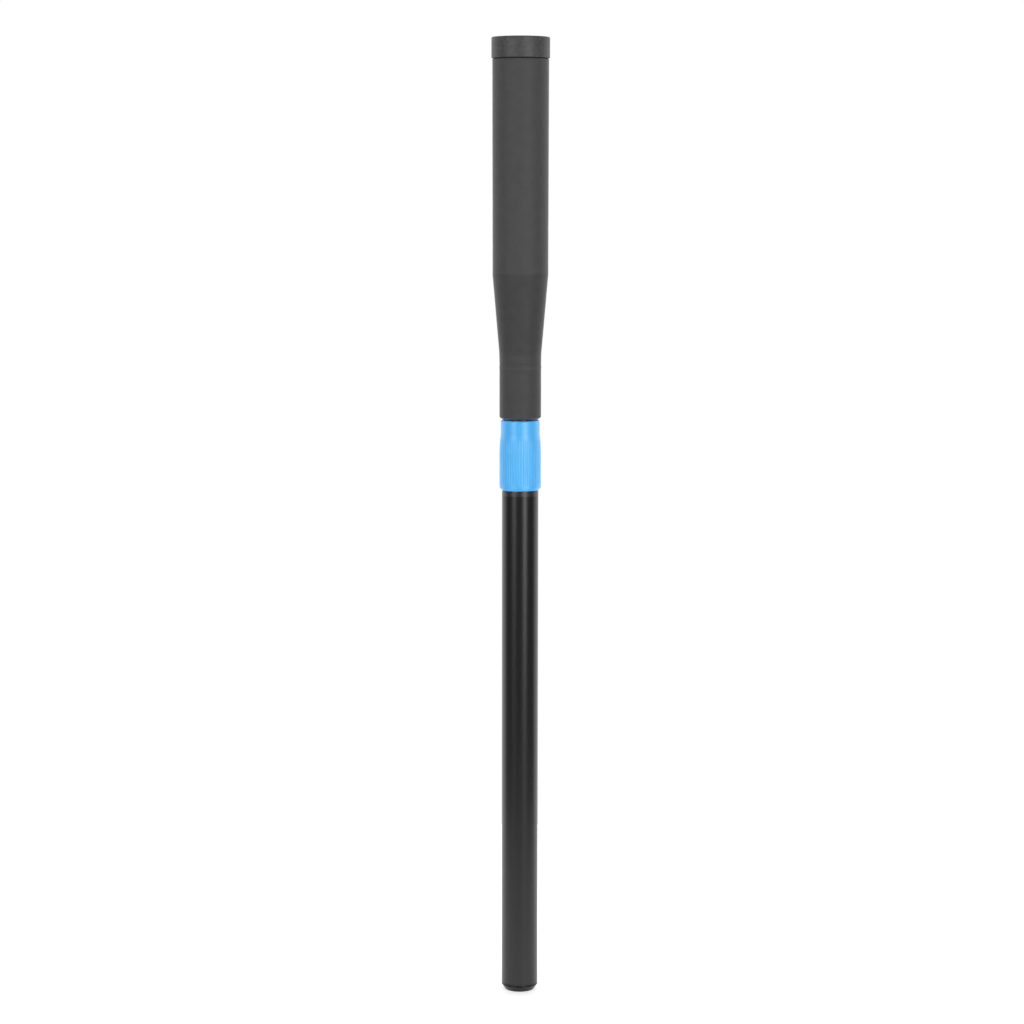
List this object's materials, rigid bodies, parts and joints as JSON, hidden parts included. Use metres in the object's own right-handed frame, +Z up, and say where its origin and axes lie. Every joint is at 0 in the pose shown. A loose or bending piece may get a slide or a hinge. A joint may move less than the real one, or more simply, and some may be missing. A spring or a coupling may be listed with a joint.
{
  "type": "telescopic boom pole",
  "caption": "Two-section telescopic microphone boom pole with a twist-lock collar, a tapered foam grip with a butt cap, and a threaded socket in its tip.",
  "frame": {"origin": "centre of the tip's flat face, the microphone end, which is the lowest point", "axes": "+Z up the pole's axis from the tip to the butt cap; X and Y are across it"},
  "size_m": [0.0485, 0.0484, 0.8071],
  "materials": {
    "black_anodised": "satin black anodised",
    "silver_anodised": "satin clear anodised",
    "tip_black": "satin black anodised",
    "ferrule_black": "matte moulded nylon",
    "collar_blue": "semi-gloss moulded nylon",
    "acetal_white": "natural acetal",
    "black_rubber": "matte",
    "cap_rubber": "fine spark-eroded texture",
    "grip_foam": "closed-cell foam, skinned",
    "brass": "turned",
    "spring_steel": "phosphated",
    "steel": "zinc plated"
  },
  "bodies": {
    "outer_section": {"outer_tube": "black_anodised", "tip_plug": "tip_black", "thread_insert": "brass", "buffer_pad": "black_rubber", "lock_ferrule": "ferrule_black", "dust_ring": "black_rubber", "snap_ring": "spring_steel", "collet": "acetal_white"},
    "thrust_washer": {"thrust_washer": "acetal_white"},
    "collar": {"locking_collar": "collar_blue", "wiper_seal": "black_rubber"},
    "glide": {"glide_ring": "acetal_white"},
    "handle": {"inner_tube": "black_anodised", "end_plug": "ferrule_black", "stop_ring": "silver_anodised", "foam_grip": "grip_foam", "butt_plug": "ferrule_black", "cap_gasket": "black_rubber", "butt_cap": "cap_rubber", "cap_washer": "steel", "cap_screw": "steel"}
  },
  "joints": [
    {"name": "extension", "type": "slide", "parent": "outer_section", "child": "glide", "axis": [0, 0, 1], "range_m": [0, 0.332]},
    {"name": "handle_turn", "type": "hinge", "parent": "glide", "child": "handle", "pos_m": [0, 0, 0.053], "axis": [0, 0, 1], "continuous": true},
    {"name": "collar_advance", "type": "slide", "parent": "outer_section", "child": "thrust_washer", "axis": [0, 0, 1], "range_m": [0, 0.00067]},
    {"name": "collar_twist", "type": "hinge", "parent": "thrust_washer", "child": "collar", "pos_m": [0, 0, 0.445], "axis": [0, 0, 1], "range_deg": [0, 120]}
  ],
  "couplings": [
    {"joint": "collar_advance", "follows": "collar_twist", "m_per_rad": 0.00031831}
  ]
}
